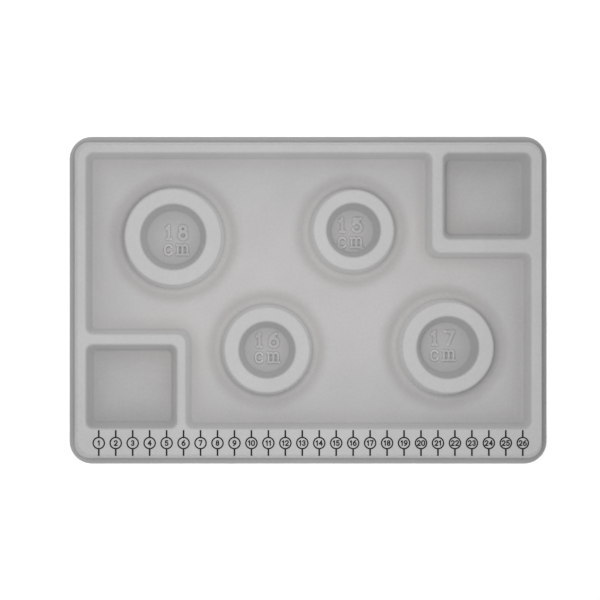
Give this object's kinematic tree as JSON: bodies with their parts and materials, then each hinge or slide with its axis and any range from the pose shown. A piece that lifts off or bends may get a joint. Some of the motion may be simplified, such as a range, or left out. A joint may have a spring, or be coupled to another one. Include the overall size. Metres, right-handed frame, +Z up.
{
  "type": "bracelet bead board",
  "caption": "Flocked thermoformed bead board: raised cupped bosses size bracelets, with bead channels, a basin, bead bins and a printed centimetre scale.",
  "frame": {"origin": "centre of the board's footprint, on the surface that it stands on", "axes": "+Z up out of the board; +X along the printed scale from 1 to 26; +Y from the scale to the far rim"},
  "size_m": [0.2866, 0.1962, 0.0151],
  "materials": {
    "tray_plastic": "satin, as formed",
    "flock_adhesive": "dry film",
    "flock": "short matte flock pile",
    "ink": "matte screen print"
  },
  "bodies": {
    "root": {"tray_shell": "tray_plastic", "flock_adhesive": "flock_adhesive", "flock_pile": "flock", "scale_marks": "ink", "scale_numerals": "ink"}
  },
  "joints": []
}
